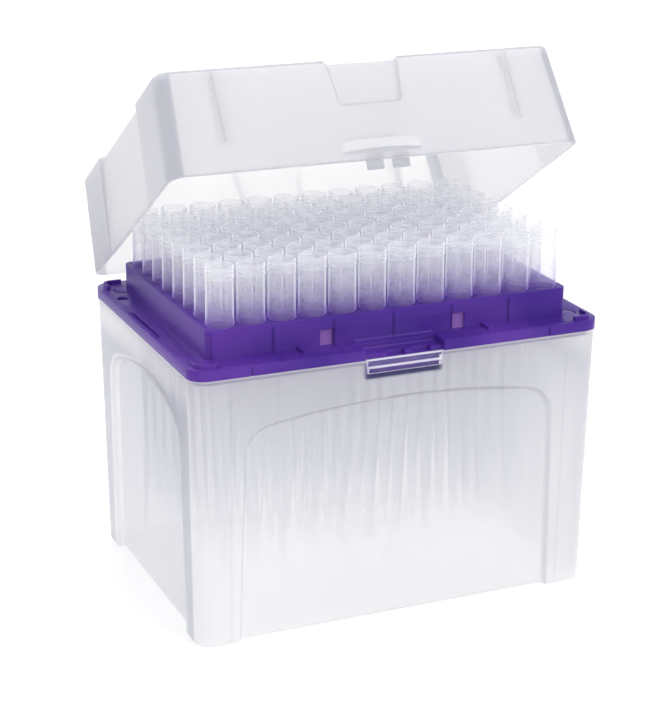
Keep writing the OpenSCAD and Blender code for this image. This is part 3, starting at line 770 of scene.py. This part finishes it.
def build_base():
    """The base: from the foot up the outside, over the rim and down the inside to the floor."""
    rib_edges = [place + side * RIB_HALF
                 for place in (*LONG_RIBS, CORNER_RIB) for side in (-1, 1)]
    long_lines = grid_lines(
        both_sides(spread(0, 36, WIDE_X) + spread(*ARCH_SPAN_X, FINE) + [54.5, 56]),
        both_sides(rib_edges + [BAR_HALF]))
    short_lines = grid_lines(
        both_sides(spread(0, 18, WIDE_Y) + spread(*ARCH_SPAN_Y, FINE) + [35.5, 38]),
        both_sides([SIDE_RIB - RIB_HALF, SIDE_RIB + RIB_HALF]))
    shell = Shell(base_half, BASE_R, long_lines, short_lines)
    foot = 0.9
    turns = [math.radians(18 * i) for i in range(6)]
    outer = [(foot * (1 - math.cos(a)), foot * (1 - math.sin(a))) for a in turns]
    levels = grid_lines(
        spread(foot + 1.2, 52, WIDE_Z) + spread(*ARCH_SPAN_Z, FINE)
        + [72.0, 72.7, 73.1, 73.5, 74.2, 77.6], [BAR_LOW, BAR_HIGH], FINE_PAIR)
    rows = [(z, inset, base_outer) for z, inset in outer]
    rows += [(z, 0.0, base_outer) for z in levels]
    soft = 0.15
    rows += [(RIM_Z - BEAD - 0.1, 0.0, None), (RIM_Z - BEAD, -0.2, None),
             (RIM_Z - BEAD + 0.12, -RIM_PROUD, None), (RIM_Z - soft, -RIM_PROUD, None),
             (RIM_Z, soft - RIM_PROUD, None), (RIM_Z, BASE_WALL - soft, None),
             (RIM_Z - soft, BASE_WALL, None)]
    fillet = 1.3
    inner = grid_lines(
        spread(FLOOR + fillet + 1.5, 52, WIDE_Z) + spread(ARCH_SPAN_Z[0], 70.4, FINE_INSIDE),
        [PLATE_LOW, RIB_TOP], FINE_PAIR)
    first_inner = len(rows) - 1
    rows += [(z, BASE_WALL, base_inner) for z in reversed(inner)]
    rows += [(FLOOR + fillet * (1 - math.sin(a)), BASE_WALL + fillet * (1 - math.cos(a)),
              base_inner) for a in turns]
    data = bmesh.new()
    made = skin_rings(data, [shell.ring(z, inset, sink) for z, inset, sink in rows])
    data.faces.new(list(reversed(made[0])))
    data.faces.new(made[-1])
    data.faces.ensure_lookup_table()
    count = len(shell.stations)
    for index in [*range(first_inner * count, (len(rows) - 1) * count), -1]:
        data.faces[index].material_index = INSIDE_FACES
    mark_lines(data, base_half, BASE_R, base_line)
    for face in data.faces:
        middle = face.calc_center_median()
        if (abs(middle.x) < BAR_HALF + 0.05 and middle.y < 0 and middle.z > BAR_LOW - 0.1
                and abs(face.normal.z) < 0.9):
            face.material_index = BAR_FACES
    add_brackets(data)
    data.transform(Matrix.Scale(MM, 4))
    return make_piece("base_shell", data, [BASE_PP, CLEAR_PP, BASE_INSIDE],
                      "base", ["base"])


def add_brackets(data):
    """Two pairs of ears on the back wall, each pair with its pin."""
    axis = (AXIS_Y, AXIS_Z)
    root = BASE_HY - BASE_WALL / 2
    ear = [(root, RIM_Z - 8.5), (BASE_HY + 0.3, RIM_Z - 8.5)]
    ear += arc(axis, KNUCKLE_R, -30, 204, 18)
    ear += [(root, RIM_Z - 0.9)]
    pin = arc(axis, PIN_R, 0, 345, 23)
    inner = CLIP_HALF + EAR_GAP
    for x in (-HINGE_X, HINGE_X):
        for low in (x - inner - EAR_T, x + inner):
            prism(data, ear, low, low + EAR_T)
        prism(data, pin, x - inner - 0.2, x + inner + 0.2, 0)


# ---------------------------------------------------------------- lid
LIP_FACES = 1

# How dark the painted shade lines and painted shades on the lid are, and the width over which a
# line fades
LID_EDGE_SHADE = 0.28
LID_RIM_LINE, LID_RIM_LINE_W = 0.3, 0.25
LID_RIB_LINE, LID_RIB_LINE_W = 0.2, 0.4
PANEL_LINE, PANEL_LINE_W = 0.34, 0.35
END_SHADE = (0.06, 0.26)
RECESS_LINE, RECESS_LINE_W = 0.28, 0.32
HOOK_SHADE = 0.2


def lid_half(z):
    """Half the lid's length and width at a height, with the lid shut."""
    share = (z - LID_Z) / LID_H
    return LID_HX - LID_TAPER_X * share, LID_HY - LID_TAPER_Y * share


def recess_distance(s, height):
    """How far a point on the long wall lies inside the finger recess."""
    corner = 2.0
    flare = RECESS_FLARE * max(height - RECESS_LOW - corner, 0) / RECESS_H
    across = abs(s) - flare - (RECESS_HALF - corner)
    down = (RECESS_LOW + corner) - height
    outside = math.hypot(max(across, 0), max(down, 0))
    return corner - outside - min(max(across, down), 0)


def lid_sink(side, s, z, grow=0.0):
    """How far a point is sunk by an end panel or by a finger recess."""
    height = z - LID_Z
    if side % 2:
        if abs(s) > PANEL_HALF + grow:
            return 0.0
        depth = 0.3 + 1.5 * min(max(height / LID_H, 0), 1)
        return depth * smooth((PANEL_HALF + grow - abs(s)) / 0.7)
    return RECESS_DEPTH * smooth((recess_distance(s, height) + grow) / 0.9)


def lid_outer(side, s, z):
    """How far the outside is sunk, which is less than nothing on the thumb lip."""
    height = z - LID_Z
    if side == 0 and LIP_LOW <= height <= LIP_LOW + LIP_H and abs(s) < LIP_HALF:
        fade = 1 - (height - LIP_LOW) / LIP_H
        return -LIP_PROUD * (1 - (s / LIP_HALF) ** 2) * fade
    return lid_sink(side, s, z)


def lid_inner(side, s, z):
    """How far the inside stands in, behind a sunk stretch or at a rib."""
    depth = lid_sink(side, s, z, LID_WALL)
    if not side % 2 and abs(abs(s) - LID_RIB) < LID_RIB_HALF and z - LID_Z > LID_RIB_LOW:
        depth = max(depth, LID_RIB_DEPTH)
    return depth


def lid_line(side, s, z, inset):
    """Painted shade at the edges and round corners, on the end walls, at the ribs, along the
    outlines of the sunk panels and under the rim and the thumb lip.
    """
    height = z - LID_Z
    if side is None or height > LID_H - 0.9:
        return LID_EDGE_SHADE
    rib = 0.0
    if height > LID_RIB_LOW and side % 2 == 0:
        rib = LID_RIB_LINE * peak(abs(s) - LID_RIB, LID_RIB_LINE_W)
    on_the_inside = inset > 0.9 + lid_sink(side, s, z)
    if on_the_inside:
        return rib
    if side % 2:
        panel, corner = END_SHADE
        dark = max(PANEL_LINE * peak(abs(s) - PANEL_HALF + 0.3, PANEL_LINE_W),
                   panel + (corner - panel) * smooth(abs(s) - PANEL_HALF))
    else:
        outline = recess_distance(s, height) - 0.15
        dark = max(rib, RECESS_LINE * peak(outline, RECESS_LINE_W))
    if side == 0 and abs(s) < LIP_HALF and inset < 0.05:
        dark = max(dark, LID_RIM_LINE * peak(height - LIP_LOW, 0.2))
    return max(dark, LID_RIM_LINE * peak(height, LID_RIM_LINE_W))


def strip_drop(side, s):
    """How far the top is lowered behind a finger recess."""
    return STRIP_DROP if not side % 2 and abs(s) < STRIP_HALF else 0.0


def cap_lid(data, top, count):
    """Closes the lid's top with strips from front to back and a face at each end."""
    arcs = len(top) // 2
    front = top[:count]
    back = list(reversed(top[arcs:arcs + count]))
    for i in range(count - 1):
        data.faces.new((front[i], front[i + 1], back[i + 1], back[i]))
    data.faces.new(top[count - 1:arcs + 1])
    data.faces.new(top[arcs + count - 1:] + [top[0]])


def build_lid():
    """The lid: drawn shut, from the inside of the top over the rim and up the outside."""
    rib_edges = [LID_RIB - LID_RIB_HALF, LID_RIB + LID_RIB_HALF]
    long_lines = grid_lines(
        both_sides(spread(0, 7.0, 1.0) + spread(7.2, 11.2, 0.28) + [12.2, 13.2, LID_RIB]
                   + spread(15, 54.5, 3.6)), both_sides([STRIP_HALF, *rib_edges]))
    short_lines = grid_lines(
        both_sides(spread(0, 20, 4.0) + spread(21.1, 24, 0.26) + spread(26, 37.5, 3.8)), [])
    shell = Shell(lid_half, LID_R, long_lines, short_lines)
    soft = 1.0
    inner_top = LID_H - LID_TOP
    rows = [(LID_Z + inner_top - soft * (1 - math.sin(a)), LID_WALL + soft * (1 - math.cos(a)),
             lid_inner, None) for a in (math.radians(90 - 18 * i) for i in range(6))]
    heights = grid_lines(
        spread(0.4, LIP_LOW + LIP_H, 0.6) + spread(7.8, 14.2, 1.6) + spread(15.0, 20.0, 0.36)
        + spread(22, inner_top - soft, 2.4), [LIP_LOW, LID_RIB_LOW], FINE_PAIR)
    heights = [h for h in heights if h < inner_top - soft]
    rows += [(LID_Z + h, LID_WALL, lid_inner, None) for h in reversed(heights)]
    rim = 0.12
    rows += [(LID_Z + rim, LID_WALL, lid_inner, None), (LID_Z, LID_WALL - rim, lid_inner, None),
             (LID_Z, rim, lid_outer, None), (LID_Z + rim, 0.0, lid_outer, None)]
    rows += [(LID_Z + h, 0.0, lid_outer, None) for h in heights]
    edge = 1.15
    rows += [(LID_Z + LID_H - edge * (1 - math.sin(a)), edge * (1 - math.cos(a)),
              lid_outer, strip_drop) for a in (math.radians(15 * i) for i in range(7))]
    data = bmesh.new()
    made = skin_rings(data, [shell.ring(*row) for row in rows])
    data.faces.new(list(reversed(made[0])))
    cap_lid(data, made[-1], len(long_lines))
    mark_lines(data, lid_half, LID_R, lid_line)
    for face in data.faces:
        spot = face.calc_center_median()
        if spot.y < -LID_HY - 0.02 and LIP_LOW - 0.06 < spot.z - LID_Z < LIP_LOW + LIP_H:
            face.material_index = LIP_FACES
    body = set(data.verts)
    add_hooks(data)
    # The hooks get an even painted shade
    layer = data.verts.layers.float["line"]
    for vert in data.verts:
        if vert not in body:
            vert[layer] = HOOK_SHADE
    add_clips(data)
    swing = (Matrix.Translation((0, AXIS_Y, AXIS_Z))
             @ Matrix.Rotation(math.radians(-LID_OPEN), 4, "X")
             @ Matrix.Translation((0, -AXIS_Y, -AXIS_Z)))
    data.transform(Matrix.Scale(MM, 4) @ swing)
    return make_piece("lid_shell", data, [LID_PP, LIP_PP], "lid", ["lid"])


def add_hooks(data):
    """Two snap hooks under the front rim."""
    face = -(LID_HY - LID_WALL)
    back = face + HOOK_T
    tip = LID_Z - HOOK_REACH
    outline = [(face, LID_Z + 1.8), (back, LID_Z + 1.4), (back, tip + 0.85)]
    outline += arc((back, tip + 0.5), 0.35, 90, -90, 6)
    outline += [(back, tip), (face, tip)]
    for middle in (CATCH_X - HOOK_APART, CATCH_X + HOOK_APART):
        prism(data, outline, middle - HOOK_HALF, middle + HOOK_HALF, SMALL_BEVEL)


def add_clips(data):
    """Two snap clips, each a ring open to the back with an arm to the lid and a heel."""
    axis = (AXIS_Y, AXIS_Z)
    wall = LID_HY - LID_WALL / 2
    low = LID_Z + 0.4
    outer_mouth = math.degrees(math.asin(MOUTH_HALF / KNUCKLE_R))
    inner_mouth = math.degrees(math.asin(MOUTH_HALF / BORE_R))
    outline = arc(axis, KNUCKLE_R, outer_mouth, 43.4, 3)
    outline += [(LID_HY + 0.1, low + 5), (wall - 0.4, low + 5), (wall, low), (LID_HY + 0.6, low)]
    outline += arc(axis, KNUCKLE_R, 171, 280, 10)
    outline += [(AXIS_Y + y, AXIS_Z + z) for y, z in HEEL]
    outline += arc(axis, BORE_R, -inner_mouth, -360 + inner_mouth, 20)
    for x in (-HINGE_X, HINGE_X):
        prism(data, outline, x - CLIP_HALF, x + CLIP_HALF, SMALL_BEVEL)


# ---------------------------------------------------------------- tips
TIP_RIM_R = 3.95
TIP_GROOVE_R = 3.8
TIP_FOOT_R = 4.05
TIP_BODY_R = 3.45
TIP_SEAT_R = 3.28
TIP_RIM_H = 3.6
TIP_KNEE_DROP = 32
AROUND = 40
OUTER_FACES, LINING_FACES, RIM_FACES = 0, 1, 2


def tip_profile(deck):
    """Radius and height from the rim down the outside, then back up the inside."""
    top, end = TIP_HIGH.z, TIP_LOW.z
    rim, groove, foot = TIP_RIM_R, TIP_GROOVE_R, TIP_FOOT_R
    body, seat = TIP_BODY_R, TIP_SEAT_R
    points = [(seat + 0.25, top - 0.02), (rim - 0.2, top), (rim, top - 0.18)]
    for low, high in ((0.8, 1.3), (2.0, 2.5), (3.4, 3.7)):
        points += [(rim, top - low + 0.1), (groove, top - low - 0.08)]
        if low < 3:
            points += [(groove, top - high + 0.08), (rim, top - high - 0.1)]
    points += [(foot - 0.12, deck + 1.3), (foot, deck + 1.0), (foot, deck + 0.25),
               (foot - 0.2, deck + 0.02), (body, deck + 0.01), (body - 0.02, deck - 1)]
    knee = deck - TIP_KNEE_DROP
    points += [(body - 1, knee), (0.75, end + 0.3), (0.66, end), (0.35, end), (0.36, end + 0.5)]
    points += [(body - 1.5, knee), (body - 0.5, deck - 1), (seat, top - 8.6), (seat, top - 0.6)]
    return points


def build_tips():
    """One piece for each column of tips, each tip turned from the same profile."""
    profile = tip_profile(DECK)
    rim_low = TIP_HIGH.z - TIP_RIM_H
    turns = [2 * math.pi * i / AROUND for i in range(AROUND)]
    for name in COLUMNS:
        low, high = box_mm(name)
        x = (low.x + high.x) / 2
        data = bmesh.new()
        for row in range(ROWS):
            y = (row - (ROWS - 1) / 2) * PITCH
            rings = [[Vector((x + r * math.cos(a), y + r * math.sin(a), z)) for a in turns]
                     for r, z in reversed(profile)]
            made = skin_rings(data, rings)
            for i in range(AROUND):
                j = (i + 1) % AROUND
                data.faces.new((made[-1][i], made[-1][j], made[0][j], made[0][i]))
            bmesh.ops.recalc_face_normals(data, faces=data.faces)
        for face in data.faces:
            middle = face.calc_center_median()
            axis_y = (round(middle.y / PITCH - 0.5) + 0.5) * PITCH
            arm = Vector((middle.x - x, middle.y - axis_y, 0))
            if face.normal.dot(arm) < 0 and abs(face.normal.z) < 0.9:
                face.material_index = LINING_FACES
            else:
                face.material_index = RIM_FACES if middle.z > rim_low else OUTER_FACES
        data.transform(Matrix.Scale(MM, 4))
        make_piece(name.replace("tips", "tip_shells"), data, TIP_SKINS, "base", [name])


# ---------------------------------------------------------------- tray
def build_tray():
    """The tray's own solid with its edges softened."""
    data = bmesh.new()
    data.from_mesh(frame["nodes"]["tray"].data)
    flat, sharp = math.radians(0.4), math.radians(40)
    bmesh.ops.remove_doubles(data, verts=data.verts, dist=0.002 * MM)
    bmesh.ops.dissolve_limit(data, angle_limit=flat, verts=data.verts, edges=data.edges)
    edges = [e for e in data.edges if len(e.link_faces) == 2 and e.calc_face_angle(0) > sharp]
    bmesh.ops.bevel(data, geom=edges, offset=0.18 * MM, segments=2, profile=0.5, affect="EDGES",
                    clamp_overlap=True)
    return make_piece("tray_shell", data, [TRAY_PP], "base", ["tray"])


build_base()
build_lid()
build_tips()
build_tray()


# ---------------------------------------------------------------- stage
FLOOR_SIZE = 6.0
FLOOR_WHITE = (0.98, 0.98, 0.98, 1)
FLOOR_GLOW = 0.38
FLOOR_GLOW_THROUGH = 0.9


def build_floor():
    """A white floor that keeps the object's shadow and a faint reflection.

    Part of it glows white, more so where it is seen through the frosted shells.
    """
    bpy.ops.mesh.primitive_plane_add(size=FLOOR_SIZE)
    floor = bpy.context.object
    floor.name = "floor"
    floor.location.z = -0.05 * MM
    material, tree = new_material("floor_white")
    lit = add(tree, "ShaderNodeBsdfPrincipled", Base_Color=FLOOR_WHITE, Roughness=0.12)
    glow = add(tree, "ShaderNodeEmission", Strength=1.0)
    path = add(tree, "ShaderNodeLightPath").outputs
    share = math_node(tree, "MAXIMUM",
                      math_node(tree, "MULTIPLY", path["Is Camera Ray"], FLOOR_GLOW),
                      math_node(tree, "MULTIPLY", path["Is Transmission Ray"],
                                FLOOR_GLOW_THROUGH))
    output(tree, mix_shaders(tree, share, lit, glow).outputs[0])
    floor.data.materials.append(material)


def build_world():
    """Even white surroundings, which are the background too."""
    world = bpy.data.worlds.new("world")
    bpy.context.scene.world = world
    world.use_nodes = True
    tree = world.node_tree
    tree.nodes.clear()
    white = add(tree, "ShaderNodeBackground", Color=(1, 1, 1, 1), Strength=1.0)
    add(tree, "ShaderNodeOutputWorld", {"Surface": white.outputs[0]})


def area_lamp(name, place, aim, size, power):
    """A rectangular lamp, in metres and watts, turned towards a point."""
    data = bpy.data.lights.new(name, "AREA")
    data.shape = "RECTANGLE"
    data.size, data.size_y = size
    data.energy = power
    lamp = bpy.data.objects.new(name, data)
    bpy.context.scene.collection.objects.link(lamp)
    lamp.location = place
    lamp.rotation_euler = (Vector(aim) - Vector(place)).to_track_quat("-Z", "Y").to_euler()


build_floor()
build_world()
area_lamp("key", place=(0.5, -0.75, 0.8), aim=(0, 0, 0.06), size=(0.8, 0.8), power=5)
area_lamp("back", place=(-0.1, 0.9, 0.7), aim=(0, 0, 0.08), size=(1.2, 0.8), power=6)

scene = bpy.context.scene
scene.view_settings.view_transform = "Standard"
scene.cycles.max_bounces = 9
scene.cycles.transmission_bounces = 8
scene.cycles.transparent_max_bounces = 48
scene.cycles.glossy_bounces = 2
scene.cycles.diffuse_bounces = 4
